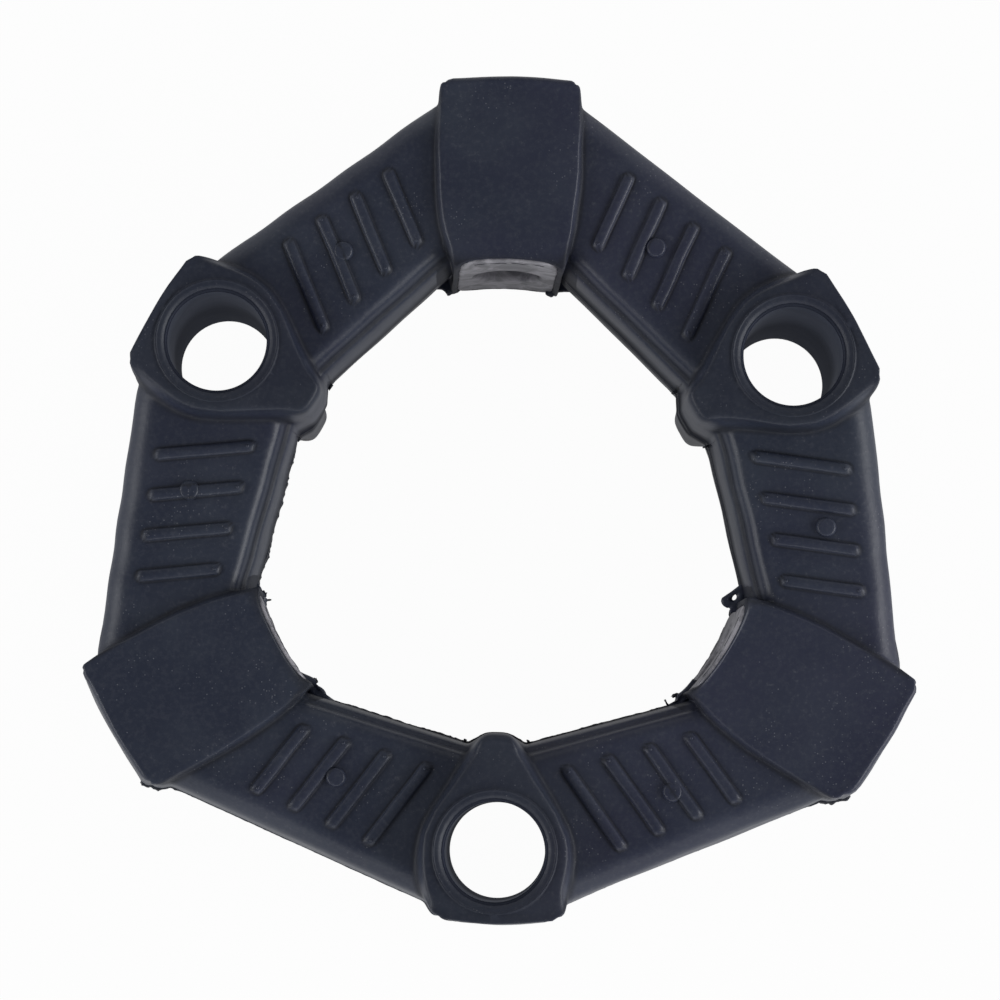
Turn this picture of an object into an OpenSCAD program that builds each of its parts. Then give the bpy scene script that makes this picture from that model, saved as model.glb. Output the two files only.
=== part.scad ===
// Flexible rubber coupling element, in mm.
// A ring is moulded round three metal sleeves, bored along the shaft, and three
// metal inserts, bored across it. Six tapering arms carry the load between them.
// The shaft axis is Z, and the origin is on it, at half height.

/* [Axial bosses] */
// Diameter of the circle through the three axial holes
bolt_circle_d = 165; // [155:1:175]
// Height over the bosses, which are the thickest places
boss_h = 58; // [54:1:64]
// Radius of the boss pad round its hole
boss_pad_r = 17.4; // [16.6:0.1:20]
// Distance from the shaft axis to the boss's outer face, at its top edge
boss_outer_r = 99.5; // [98:0.1:104]
// How far the boss's outer face leans out, down to half height
boss_draft = 1; // [0.5:0.1:1.5]
// Width of the boss at its outer face
boss_end_w = 30.4; // [26:0.2:34]
// Distance from the shaft axis to the tip of the boss's nose, below its rounded top
boss_nose_r = 53.7; // [51:0.1:56]
// How far the nose leans in towards the shaft, down to half height
boss_nose_lean = 0.8; // [0.4:0.1:3]
// Radius of the rounded top of the nose's tip
boss_nose_round = 2.4; // [1.6:0.2:4]
// Width of the nose at its tip
boss_nose_w = 8; // [7:0.5:10]
// How far the boss's flanks spread down to the arms
boss_spread = 2; // [1:0.1:2.4]
// Radius of the boss's outer corners
boss_corner_r = 3; // [2:0.5:4]
// Size of the broken edge round the boss's top
boss_edge = 0.8; // [0.4:0.1:1.2]

/* [Sleeves] */
// Bore of an axial sleeve
sleeve_bore_d = 24.5; // [20:0.5:26]
// Wall of an axial sleeve
sleeve_wall = 1.75; // [1.25:0.25:2]
// How far a sleeve's ends stay below the boss faces
sleeve_recess = 0.6; // [0.3:0.1:1]
// Width of the sloping dish in the rubber round a sleeve's end
mouth_dish_w = 1.3; // [0.8:0.1:1.7]

/* [Radial blocks] */
// Height of a radial block
block_h = 49; // [48:1:54]
// Distance from the shaft axis to the block's outer face, at its top edge
block_outer_r = 109.4; // [106:0.2:112]
// How far the block's outer face bulges at half height
block_bulge = 2; // [1:0.5:4]
// Width of a block over its outer half
block_w = 34.6; // [32:0.2:38]
// Width of a block at its inner end
block_inner_w = 27.2; // [26.6:0.2:30]
// Distance from the shaft axis to where the block starts to narrow
block_taper_r = 91; // [85:1:97]
// Radius of the block's outer corners
block_corner_r = 3.2; // [2:0.2:4]
// How far the block's flanks spread down to half height
block_spread = 1.5; // [0.5:0.1:2]
// Size of the broken edge round the block's top
block_edge = 1.6; // [0.8:0.1:2]

/* [Inserts] */
// Radius of the concave seat on a radial insert, about the shaft axis
seat_r = 62.5; // [60:0.5:65]
// Width of a radial insert
insert_w = 25; // [23:0.5:26]
// Height of a radial insert
insert_h = 46; // [40:1:46]
// Distance from the shaft axis to an insert's outer end
insert_outer_r = 97; // [94:0.5:100]
// Chamfer along an insert's four long edges
insert_chamfer = 2; // [1:0.5:4]
// Bore across a radial insert
radial_bore_d = 17; // [14:0.5:18]
// Diameter of the hole in the rubber for a radial bolt's head
head_hole_d = 26; // [22:0.5:28]

/* [Arms] */
// Thickness of an arm between its ribbed faces
arm_h = 43; // [40:1:46]
// Distance from the shaft axis to an arm's outer side
arm_outer = 94.6; // [93:0.1:97]
// Angle from the boss to the direction that the outer side faces
arm_outer_turn = 23.2; // [21:0.2:25]
// Distance from the shaft axis to an arm's inner side
arm_inner = 55.2; // [53:0.1:57]
// Angle from the boss to the direction that the inner side faces
arm_inner_turn = 16.2; // [14:0.2:18]
// Width of the slanted shoulder along an arm's outer side
shoulder_w = 4; // [3:0.2:5]
// Drop of that shoulder
shoulder_drop = 4.5; // [3:0.5:6]
// How far the outer side leans in between half height and the shoulder
outer_draft = 0.7; // [0.5:0.1:3]
// How far the inner side leans out between half height and the ledge
inner_draft = 1; // [0.5:0.1:2]
// Width of the ledge along an arm's inner side
ledge_w = 2.2; // [1.6:0.2:4]
// Depth of that ledge below the ribbed face
ledge_drop = 6.5; // [5:0.5:8]
// Rise of the ledge towards the arm
ledge_rise = 1.8; // [1:0.2:2.4]
// Width of the slope between the ledge and the ribbed face
step_w = 2; // [1:0.2:3]

/* [Ribs] */
// Ribs on each face of an arm
rib_count = 4; // [3:1:5]
// Radius of a rib's round back
rib_r = 1.6; // [1.2:0.1:2]
// How far a rib stands proud of the arm
rib_rise = 1.1; // [0.8:0.1:1.2]
// Distance between ribs along the arm
rib_pitch = 10.3; // [9:0.1:11]
// Distance along the arm from its point nearest the shaft to the middle of the ribs
rib_row_shift = 14; // [12:0.5:16]
// Angle from the boss to the direction in which the ribs run
rib_turn = 36.5; // [32:0.5:40]
// Distance from the arm's outer side to the ribs' outer ends
rib_outer_gap = 7.6; // [7:0.1:10]
// Distance from the arm's inner side to the ribs' inner ends
rib_inner_gap = 8.3; // [7:0.1:10]
// Radius of the round discs between the ribs
disc_r = 2.3; // [1.8:0.1:2.8]
// How far the discs stand proud of the arm
disc_rise = 1; // [0.3:0.1:1.2]

/* [Hidden] */
$fn = 64;
// A hull's own circles are coarser, to keep its facets few
hull_fn = 32;

RUBBER = [0.16, 0.18, 0.22];
METAL = [0.45, 0.45, 0.48];
PRIMED = [0.2, 0.22, 0.26];

// Direction of the first boss and of the first block, and the step between like ones
boss_turn = 30;
block_turn = 90;
third = 120;
// Angle between a boss and the block next to it
sixth = third / 2;

bolt_r = bolt_circle_d / 2;
sleeve_r = sleeve_bore_d / 2 + sleeve_wall;
sleeve_h = boss_h - 2 * sleeve_recess;
// Mean direction that an arm's two sides face
arm_turn = (arm_outer_turn + arm_inner_turn) / 2;
// Mean distance from the shaft axis to an arm's two sides
arm_middle = (arm_outer + arm_inner) / 2;
// Places of the discs on the top faces, in each arm's own frame, one after another
// round the ring: the moulding has them at slightly different places
disc_places = [[65.5, 39.5], [69, 41], [69, 35], [68, 36], [67, 43.5], [65, 39.5]];

// Thickness of the plates that a hull is stretched over
plate = 0.1;
// Half height at which a boss's flanks meet the arm, inside the arm, and how far
// the boss is slimmer there than at half height
boss_root = arm_h / 2 - 1.5;
boss_root_tuck = 0.3;
// Arms end inside their boss and block, this far from the outer faces
arm_end_cover = 2.5;
// Overlap and reach of cutting tools
cut = 1;
far = 200;

function polar(r, a) = [r * cos(a), r * sin(a)];

// Distance to a line with the given offset and direction, along a ray at angle a
function ray_hit(offset, turn, a) = offset / cos(a - turn);

// Distance to the same line from a point p, along a direction at angle a
function line_gap(p, offset, turn, a) = (offset - p * polar(1, turn)) / cos(a - turn);

// Middle of rib k: the row lies along the arm's middle line
function rib_mid(k) = polar(arm_middle, arm_turn)
    + polar(rib_row_shift + (k - (rib_count - 1) / 2) * rib_pitch, arm_turn + 90);

// Angles of the points along an outer face's arc, out to half width w
function arc_steps(r, w) = [for (i = [-3:3]) asin(w / r) * i / 4];

// Flat outline of an arm, from the boss's plane to the block's
module arm_plan() {
    intersection() {
        polygon([
            polar(ray_hit(arm_inner, arm_inner_turn, 0), 0),
            polar(ray_hit(arm_outer, arm_outer_turn, 0), 0),
            polar(ray_hit(arm_outer, arm_outer_turn, sixth), sixth),
            polar(ray_hit(arm_inner, arm_inner_turn, sixth), sixth)
        ]);
        translate([0, -far]) square([boss_outer_r - arm_end_cover, 2 * far]);
        rotate(sixth) translate([0, -far]) square([block_outer_r - arm_end_cover, 2 * far]);
    }
}

// Sections of the two cuts that shape an arm's sides, as distance and height
module outer_cut_section() {
    h = arm_h / 2;
    x = arm_outer;
    polygon([
        [x, 0],
        [x - outer_draft, h - shoulder_drop],
        [x - outer_draft - shoulder_w, h],
        [x - outer_draft - shoulder_w, h + cut],
        [far, h + cut],
        [far, -h - cut],
        [x - outer_draft - shoulder_w, -h - cut],
        [x - outer_draft - shoulder_w, -h],
        [x - outer_draft, -h + shoulder_drop]
    ]);
}

module inner_cut_section() {
    h = arm_h / 2;
    x = arm_inner + inner_draft;
    polygon([
        [x - inner_draft - cut, h + cut],
        [x + ledge_w + step_w, h + cut],
        [x + ledge_w + step_w, h],
        [x + ledge_w, h - ledge_drop + ledge_rise],
        [x, h - ledge_drop],
        [x - inner_draft, 0],
        [x - inner_draft - cut, 0]
    ]);
}

// Carries a section along one side of an arm
module along_side(turn) {
    rotate(turn) rotate([90, 0, 0]) linear_extrude(height = far, center = true) children();
}

module arm() {
    difference() {
        linear_extrude(height = arm_h, center = true) arm_plan();
        along_side(arm_outer_turn) outer_cut_section();
        along_side(arm_inner_turn) inner_cut_section();
        along_side(arm_inner_turn) mirror([0, 1]) inner_cut_section();
    }
}

// Half-round bar on an arm's upper face
module rib(k) {
    mid = rib_mid(k);
    outwards = line_gap(mid, arm_outer - rib_outer_gap, arm_outer_turn, rib_turn);
    inwards = line_gap(mid, arm_inner + rib_inner_gap, arm_inner_turn, rib_turn);
    translate([mid.x, mid.y, arm_h / 2 + rib_rise - rib_r])
        rotate([0, 90, rib_turn])
            translate([0, 0, inwards])
                cylinder(r = rib_r, h = outwards - inwards);
}

module ribs() {
    for (k = [0:rib_count - 1]) rib(k);
}

module ribbed_arm() {
    arm();
    ribs();
    mirror([0, 0, 1]) ribs();
}

// Flat outline of a boss, grown sideways by g, from its nose at radius n to its
// outer face at radius r
module boss_plan(g, n, r) {
    nose_r = boss_nose_w / 2 + g;
    corner_y = boss_end_w / 2 - boss_corner_r + g / 2;
    intersection() {
        translate([bolt_r, 0]) circle(r = boss_pad_r + g, $fn = hull_fn);
        translate([0, -far]) square([bolt_r, 2 * far]);
    }
    translate([n + nose_r, 0]) circle(r = nose_r, $fn = hull_fn);
    for (side = [-1, 1])
        translate([sqrt(pow(r - boss_corner_r, 2) - pow(corner_y, 2)), side * corner_y])
            circle(r = boss_corner_r, $fn = hull_fn);
    polygon([for (a = arc_steps(r, corner_y)) polar(r, a), [bolt_r, 0]]);
}

// How far the nose's rounded top stands back at a depth below the boss's top
function nose_back(depth) = boss_nose_round
    - sqrt(pow(boss_nose_round, 2) - pow(boss_nose_round - depth, 2));

// One slice of a boss's stack, at height z: its nose stands back, its edge is broken
module boss_slice(z, g, edge, back) {
    lean = 1 - z / (boss_h / 2);
    translate([0, 0, z - plate]) linear_extrude(height = plate)
        boss_plan(g - edge, boss_nose_r - lean * boss_nose_lean + back,
            boss_outer_r + lean * boss_draft - edge);
}

module boss() {
    hull() {
        for (side = [0, 1]) mirror([0, 0, side]) {
            boss_slice(boss_h / 2, 0, boss_edge, boss_nose_round);
            boss_slice(boss_h / 2 - boss_edge, 0, 0, nose_back(boss_edge));
            boss_slice(boss_h / 2 - boss_nose_round, 0, 0, 0);
            boss_slice(boss_root, boss_spread, boss_root_tuck, boss_root_tuck);
        }
        linear_extrude(height = plate, center = true)
            boss_plan(boss_spread + boss_root_tuck, boss_nose_r - boss_nose_lean, boss_outer_r + boss_draft);
    }
}

// Flat outline of a block, grown sideways by g, with its outer face at radius r
module block_plan(g, r) {
    corner_y = block_w / 2 + g - block_corner_r;
    inner_x = seat_r - 5;
    for (side = [-1, 1])
        translate([sqrt(pow(r - block_corner_r, 2) - pow(corner_y, 2)), side * corner_y])
            circle(r = block_corner_r, $fn = hull_fn);
    polygon([for (a = arc_steps(r, corner_y)) polar(r, a), [block_taper_r, 0]]);
    polygon([
        [inner_x, -block_inner_w / 2 - g],
        [block_taper_r, -block_w / 2 - g],
        [block_taper_r, block_w / 2 + g],
        [inner_x, block_inner_w / 2 + g]
    ]);
}

module block() {
    difference() {
        hull() {
            for (side = [0, 1]) mirror([0, 0, side]) {
                translate([0, 0, block_h / 2 - plate]) linear_extrude(height = plate)
                    block_plan(-block_edge, block_outer_r - block_edge);
                translate([0, 0, block_h / 2 - block_edge]) linear_extrude(height = plate)
                    block_plan(0, block_outer_r);
            }
            linear_extrude(height = plate, center = true)
                block_plan(block_spread, block_outer_r + block_bulge);
        }
        cylinder(r = seat_r, h = block_h + 2 * cut, center = true);
    }
}

// Space that an insert fills, before its bore
module insert_form() {
    c = insert_chamfer;
    w = insert_w / 2;
    h = insert_h / 2;
    difference() {
        rotate([0, 90, 0]) linear_extrude(height = insert_outer_r)
            polygon([
                [-h + c, -w], [h - c, -w], [h, -w + c], [h, w - c],
                [h - c, w], [-h + c, w], [-h, w - c], [-h, -w + c]
            ]);
        cylinder(r = seat_r, h = insert_h + 2 * cut, center = true);
    }
}

module radial_cylinder(d, from_r, to_r) {
    rotate([0, 90, 0]) translate([0, 0, from_r]) cylinder(d = d, h = to_r - from_r);
}

module sleeve_pocket() {
    cylinder(r = sleeve_r, h = boss_h + 2 * cut, center = true);
    for (side = [0, 1]) mirror([0, 0, side])
        translate([0, 0, sleeve_h / 2])
            cylinder(r1 = sleeve_r, r2 = sleeve_r + mouth_dish_w, h = sleeve_recess);
}

module rubber_body() {
    color(RUBBER) difference() {
        union() {
            for (i = [0:2]) {
                rotate(boss_turn + i * third) {
                    boss();
                    ribbed_arm();
                    mirror([0, 1, 0]) ribbed_arm();
                }
                rotate(block_turn + i * third) block();
            }
            for (i = [0:5])
                rotate(boss_turn + floor(i / 2) * third) mirror([0, i % 2, 0])
                    translate([disc_places[i].x, disc_places[i].y, arm_h / 2 - cut])
                        cylinder(r = disc_r, h = cut + disc_rise);
        }
        for (i = [0:2]) {
            rotate(boss_turn + i * third) translate([bolt_r, 0, 0]) sleeve_pocket();
            rotate(block_turn + i * third) {
                insert_form();
                radial_cylinder(head_hole_d, insert_outer_r, block_outer_r + block_bulge + cut);
            }
        }
    }
}

module axial_sleeve(i) {
    color(PRIMED) rotate(boss_turn + i * third) translate([bolt_r, 0, 0])
        difference() {
            cylinder(r = sleeve_r, h = sleeve_h, center = true);
            cylinder(d = sleeve_bore_d, h = sleeve_h + 2 * cut, center = true);
        }
}

module radial_insert(i) {
    color(METAL) rotate(block_turn + i * third)
        difference() {
            insert_form();
            radial_cylinder(radial_bore_d, 0, insert_outer_r + cut);
        }
}

rubber_body();
axial_sleeve(0);  // axial_sleeve_1
axial_sleeve(1);  // axial_sleeve_2
axial_sleeve(2);  // axial_sleeve_3
radial_insert(0);  // radial_insert_1
radial_insert(1);  // radial_insert_2
radial_insert(2);  // radial_insert_3
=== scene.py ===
import math

import bmesh
import bpy
import numpy as np
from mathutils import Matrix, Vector


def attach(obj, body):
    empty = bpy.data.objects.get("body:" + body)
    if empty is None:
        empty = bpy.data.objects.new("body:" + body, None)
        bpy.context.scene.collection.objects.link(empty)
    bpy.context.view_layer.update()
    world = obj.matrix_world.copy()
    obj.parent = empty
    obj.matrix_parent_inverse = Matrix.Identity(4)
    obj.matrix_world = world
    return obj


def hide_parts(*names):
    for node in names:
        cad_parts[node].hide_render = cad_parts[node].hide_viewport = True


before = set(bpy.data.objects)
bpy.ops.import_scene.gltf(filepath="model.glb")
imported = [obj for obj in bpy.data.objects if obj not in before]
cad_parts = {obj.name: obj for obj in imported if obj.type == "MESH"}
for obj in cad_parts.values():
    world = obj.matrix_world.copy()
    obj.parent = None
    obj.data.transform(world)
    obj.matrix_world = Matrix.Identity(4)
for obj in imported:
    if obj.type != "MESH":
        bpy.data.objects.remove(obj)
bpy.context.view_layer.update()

mm = 0.001
faraway = 99.0  # a distance in mm beyond all that count
bossTurns = [30, 150, 270]  # directions of the bosses about the shaft, in degrees


# Unit vector in the plan, at an angle from +X
def heading(degrees):
    return np.array([math.cos(math.radians(degrees)), math.sin(math.radians(degrees))])


# Points turned about the shaft axis: each x, y pair times the turn's cosine and sine
def turned(points, degrees):
    c, s = heading(degrees)
    out = np.array(points, dtype=float)
    out[..., 0] = points[..., 0] * c - points[..., 1] * s
    out[..., 1] = points[..., 0] * s + points[..., 1] * c
    return out


def mirrored(points, axis):
    out = np.array(points, dtype=float)
    out[..., axis] *= -1
    return out


# Quads of a grid of points, numbered row by row
def gridFaces(rows, columns, flip=False):
    r, c = np.meshgrid(np.arange(rows - 1), np.arange(columns - 1), indexing="ij")
    a = (r * columns + c).ravel()
    quads = np.stack([a, a + 1, a + columns + 1, a + columns], axis=1)
    return quads[:, ::-1] if flip else quads


# One mesh of many (points, faces) parts in mm. Points that fall in one small cube become one
def meshObject(name, parts, weldStep=0.001):
    weldShift = 0.3819  # keeps round values off the cubes' sides
    points, faces, start = [], [], 0
    for partPoints, partFaces in parts:
        points.append(np.reshape(partPoints, (-1, 3)))
        faces.append(partFaces + start)
        start += len(points[-1])
    points = np.concatenate(points)
    keys = np.floor(points / weldStep + weldShift).astype(np.int64)
    _, first, back = np.unique(keys, axis=0, return_index=True, return_inverse=True)
    back = back.ravel()
    points = points[first]
    polygons = []
    for block in faces:
        welded = back[block]
        same = welded == np.roll(welded, 1, axis=1)
        whole = welded[~same.any(axis=1)]
        polygons += whole.tolist()
        if block.shape[1] == 4:  # quads with one short side become triangles
            short = welded[same.sum(axis=1) == 1]
            keep = ~(short == np.roll(short, 1, axis=1))
            polygons += short[keep].reshape(-1, 3).tolist()
    mesh = bpy.data.meshes.new(name)
    mesh.from_pydata((points * mm).tolist(), [], polygons)
    mesh.validate()
    shell = bmesh.new()
    shell.from_mesh(mesh)
    loose = [point for point in shell.verts if not point.link_faces]  # as in the blocks' openings
    bmesh.ops.delete(shell, geom=loose, context="VERTS")
    bmesh.ops.recalc_face_normals(shell, faces=shell.faces)
    shell.to_mesh(mesh)
    shell.free()
    mesh.polygons.foreach_set("use_smooth", [True] * len(mesh.polygons))
    thing = bpy.data.objects.new(name, mesh)
    bpy.context.scene.collection.objects.link(thing)
    return thing


# Weights of a net's points, with one ghost at each end, for places along it.
# Within half a step of point k the weights of k-1, k and k+1 are (1-t)^2/2, 1/2+t-t^2 and t^2/2
def quadraticWeights(samples, count):
    samples = np.asarray(samples, dtype=float)
    k = np.clip(np.floor(samples + 0.5), 0, count - 1).astype(int)
    t = samples - k + 0.5
    weights = np.zeros((len(samples), count + 2))
    each = np.arange(len(samples))
    weights[each, k] += 0.5 * (1 - t) ** 2
    weights[each, k + 1] += 0.5 + t - t * t
    weights[each, k + 2] += 0.5 * t * t
    return weights


# Places along a net: counts[k] of them, evenly, within half a step of point k
def spread(counts):
    places = [k - 0.5 + i / n for k, n in enumerate(counts) for i in range(n)]
    return np.array(places + [len(counts) - 0.5])


# Points of a polyline at the given shares of its length
def alongLine(points, lengths):
    points = np.asarray(points, dtype=float)
    steps = np.concatenate([[0], np.cumsum(np.linalg.norm(np.diff(points, axis=0), axis=1))])
    at = np.asarray(lengths) * steps[-1]
    return np.stack([np.interp(at, steps, points[:, i]) for i in range(points.shape[1])], axis=1)


body = {
    "innerTurn": 16.2, "outerTurn": 23.2,  # directions the arm's sides face, from the boss
    "innerOffset": [55.28, 55.66, 56.1, 56.6, 57.4, 57.95, 58.5, 59.2, 60.4, 61.5],
    "innerHeight": [1.2, 7, 13.6, 15.4, 16.0, 16.3, 19.3, 20.35, 21.2, 21.5],
    "outerOffset": [87.4, 88.9, 90.7, 92.5, 93.7, 94.0, 94.3, 94.55],
    "outerHeight": [21.5, 21.3, 20.4, 18.8, 16.9, 13, 7.5, 1.2],
    "panelHeight": 21.5, "panelShares": [0.06, 0.17, 0.31, 0.45, 0.59, 0.73, 0.87],
    "armMiddle": 75.15, "armTurn": 19.7, "ribTurn": 36.5,
    "straightPlaces": [-5.4, -4.2, 0, 8.5, 19, 27.5, 32.2, 33.6], "footStep": 1.4,
    "ribPlaces": [-1.45, 8.85, 19.15, 29.45],
    "ribInner": 63.5, "ribOuter": 87.3, "ribRadius": 1.6, "ribRise": 1.05,
    "ribProfile": ([0, 0.6, 1.0, 1.25, 1.45, 1.6, 1.9, 2.3], [1.08, 0.99, 0.8, 0.56, 0.24, -0.1, -0.1, 0]),
    # columns of points beside a rib's middle line and between the ribs, and the ribs' slant as a cosine
    "ribOffsets": [-2.3, -1.9, -1.6, -1.45, -1.25, -1.0, 0, 1.0, 1.25, 1.45, 1.6, 1.9, 2.3],
    "betweenRibs": [3.7, 14.0, 24.3], "ribSlant": 0.957,
    "boltRadius": 82.5, "rimRadius": 15.3,
    "mouth": [(15.3, 29.0), (15.08, 28.9), (14.85, 28.68), (14.55, 28.58), (14.1, 28.54), (13.7, 28.4),
              (13.35, 28.12), (13.15, 27.95), (13.02, 27.88), (13.1, 27.82), (14.02, 27.8), (14.02, 0)],
    # faces beside each point of the net, along its rows and across them at the boss and at the block
    "rowCounts": [4, 2, 2, 4, 2, 3, 2, 2, 4, 2, 4, 3, 2, 1, 2, 3, 3, 4, 3, 3, 3, 2, 3, 3, 4],
    "bossCounts": [2, 2, 3, 4, 3, 3, 4, 2, 2, 2], "blockCounts": [2, 2, 2, 4, 3, 3, 4, 3, 3, 3],
}

# Places on the net, whose point k lies at place k. panel, middleRow, pad and rim count the rows, and arm,
# ribSearch, ribs, blockStart and padColumn the columns. seat and head are a row with a column
netPlaces = {
    "panel": (8.4, 17.6), "arm": (7, 18), "middleRow": 14, "ribSearch": (9.5, 16.5), "ribs": (9.45, 15.6),
    "blockStart": 16, "pad": (8.5, 18.5), "padColumn": 2.5, "rim": (10.0, 18 + 1 / 6),
    "seat": (6.5, 22.5), "head": (22.5, 22.5 + 2 / 3),
}

rowCount = 25
sideRows = 9  # rows up a nose or a seat
cornerRow = 19  # row of a pad's outer corner
innerRows = len(body["innerOffset"])
outerRow = rowCount - len(body["outerOffset"])
armSides = ((body["innerOffset"], slice(0, innerRows)), (body["outerOffset"], slice(outerRow, rowCount)))
armTurns = (body["innerTurn"], body["outerTurn"])
rowHeights = np.full(rowCount, body["panelHeight"])
rowHeights[:innerRows] = body["innerHeight"]
rowHeights[outerRow:] = body["outerHeight"]


# A point of the arm's middle line
def armPoint(place):
    return heading(body["armTurn"]) * body["armMiddle"] + heading(body["armTurn"] + 90) * place


# Points of the rows along one straight line across the arm, in the ribs' direction
def straightColumn(place):
    middle = armPoint(place)
    run = heading(body["ribTurn"])
    reach = np.zeros(rowCount)
    for (offsets, rows), turn in zip(armSides, armTurns):
        facing = heading(turn)
        reach[rows] = (np.array(offsets) - middle @ facing) / (run @ facing)
    low, high = reach[innerRows - 1], reach[outerRow]
    reach[innerRows:outerRow] = low + (high - low) * np.array(body["panelShares"])
    return np.column_stack([middle + reach[:, None] * run, rowHeights])


# Points where the rows meet the foot of a boss or block, whose plan is a polyline
def footLine(line, turns, shares):
    samples = 400
    fine = alongLine(line, np.linspace(0, 1, samples))
    plan = np.zeros((rowCount, 2))
    for (offsets, rows), turn in zip(armSides, turns):
        crossing = np.maximum.accumulate(fine @ heading(turn) + np.arange(samples) * 1e-6)
        for axis in (0, 1):
            plan[rows, axis] = np.interp(offsets, crossing, fine[:, axis])
    between = np.interp(shares, [0, 1], [plan[innerRows - 1, 0], plan[outerRow, 0]])
    plan[innerRows:outerRow, 0] = between
    plan[innerRows:outerRow, 1] = np.interp(between, fine[:, 0], fine[:, 1])
    return np.column_stack([plan, rowHeights])


# Unit vectors to the right of a plan line's run
def rightOf(plan):
    run = np.gradient(plan, axis=0)
    run /= np.linalg.norm(run, axis=1)[:, None]
    return np.column_stack([run[:, 1], -run[:, 0]])


# Columns from a pad's edge down to its foot, by shares of the way out, out at the outer end, and down
def slopeColumns(edge, foot, slopes):
    columns = []
    for share, endShare, down in slopes:
        out = np.where(np.arange(rowCount) < cornerRow, share, endShare)
        column = edge + out[:, None] * (foot - edge)
        column[:, 2] = edge[:, 2] + down * (foot[:, 2] - edge[:, 2])
        columns.append(column)
    return columns + [foot]


boss = {
    "halfHeight": 29.0, "noseTip": 52.9, "noseLean": 0.8, "noseRound": [0, 0, 0, 0, 0, 0, 0, 0.2, 1.2],
    "noseHeights": [1.2, 7, 13.4, 15.3, 18, 21, 24.2, 27.4, 29], "noseSetback": 0.9, "noseHalf": 4.0,
    "padEdge": [(58.6, 4.9), (61.4, 6.8), (65.6, 9.5), (70.4, 13.0), (75.6, 16.3), (81.6, 17.75),
                (87.0, 17.3), (91.0, 16.5), (94.0, 15.95), (96.8, 15.6)],
    "padEnds": (57.3, 97.0), "padInset": 2.2, "edgeDrop": 0.6, "corner": (99.0, 15.4),
    "wornCorner": (99.5, 15.6),  # the reach and half width of the corner that wear rounds
    "outer": 100.1, "outerEdge": 98.8, "outerHalf": 11.3, "outerBevel": 1.1, "crown": 72, "draft": 0.6,
    "wallHeights": [27.4, 22, 15, 8, 1.2],
    # columns inside the edge: distance from the middle, setback on the nose, share of the pad's width
    "columns": [(1.0, 0.0, 0.07), (2.2, 0.1, 0.38), (3.05, 0.32, 0.75)],
    "slopes": [(0.26, 0.5, 0.2), (0.74, 0.74, 0.82)],
    "foot": [(55.4, 7.1), (57.6, 7.0), (61.0, 8.9), (69.6, 14.2), (75.0, 17.5), (79.0, 19.0),
             (83.5, 19.6), (88.0, 19.3), (92.0, 18.5), (96.05, 17.3)],
    "footShares": [0.1, 0.22, 0.35, 0.5, 0.65, 0.8, 0.91],
}


# The net over half a boss: 7 columns of points, from its middle plane out over its foot
def bossColumns():
    h = boss["halfHeight"]
    z = np.array(boss["noseHeights"])
    tip = boss["noseTip"] + boss["noseLean"] * z / h + np.array(boss["noseRound"])
    edge = np.zeros((rowCount, 3))  # the pad's edge and the nose's corner
    edge[:sideRows] = np.column_stack([tip + boss["noseSetback"], np.full(sideRows, boss["noseHalf"]), z])
    edge[sideRows:cornerRow, :2] = boss["padEdge"]
    edge[sideRows:cornerRow, 2] = h - boss["edgeDrop"]
    edge[cornerRow] = (*boss["corner"], h)
    wallZ = np.array(boss["wallHeights"])
    lean = (1 - wallZ / h) * boss["draft"]
    half = np.full(len(wallZ), boss["corner"][1])
    edge[cornerRow + 1:] = np.column_stack([boss["outerEdge"] + lean, half, wallZ])
    reach = boss["outer"] + np.concatenate([[-boss["outerBevel"], 0], lean])
    end = cornerRow - 1  # this row lies just inside the pad's outer edge
    columns = []
    for across, setback, share in boss["columns"]:
        column = edge.copy()
        column[:sideRows, 0] = tip + setback
        column[:sideRows, 1] = across
        column[sideRows:end, 0] = np.linspace(*boss["padEnds"], end - sideRows)
        column[sideRows:end, 1] = edge[sideRows:end, 1] * share
        wide = max(across, boss["outerHalf"] * share / boss["columns"][-1][-1])
        column[end:, 0] = reach - wide ** 2 / (2 * boss["crown"])
        column[end:, 1] = wide
        columns.append(column)
    outline = edge[sideRows - 1:cornerRow, :2]
    columns[-1][sideRows:end, :2] = (outline + boss["padInset"] * rightOf(outline))[1:-1]
    foot = footLine(boss["foot"], armTurns, boss["footShares"])
    return columns + [edge] + slopeColumns(edge, foot, boss["slopes"])


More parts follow.
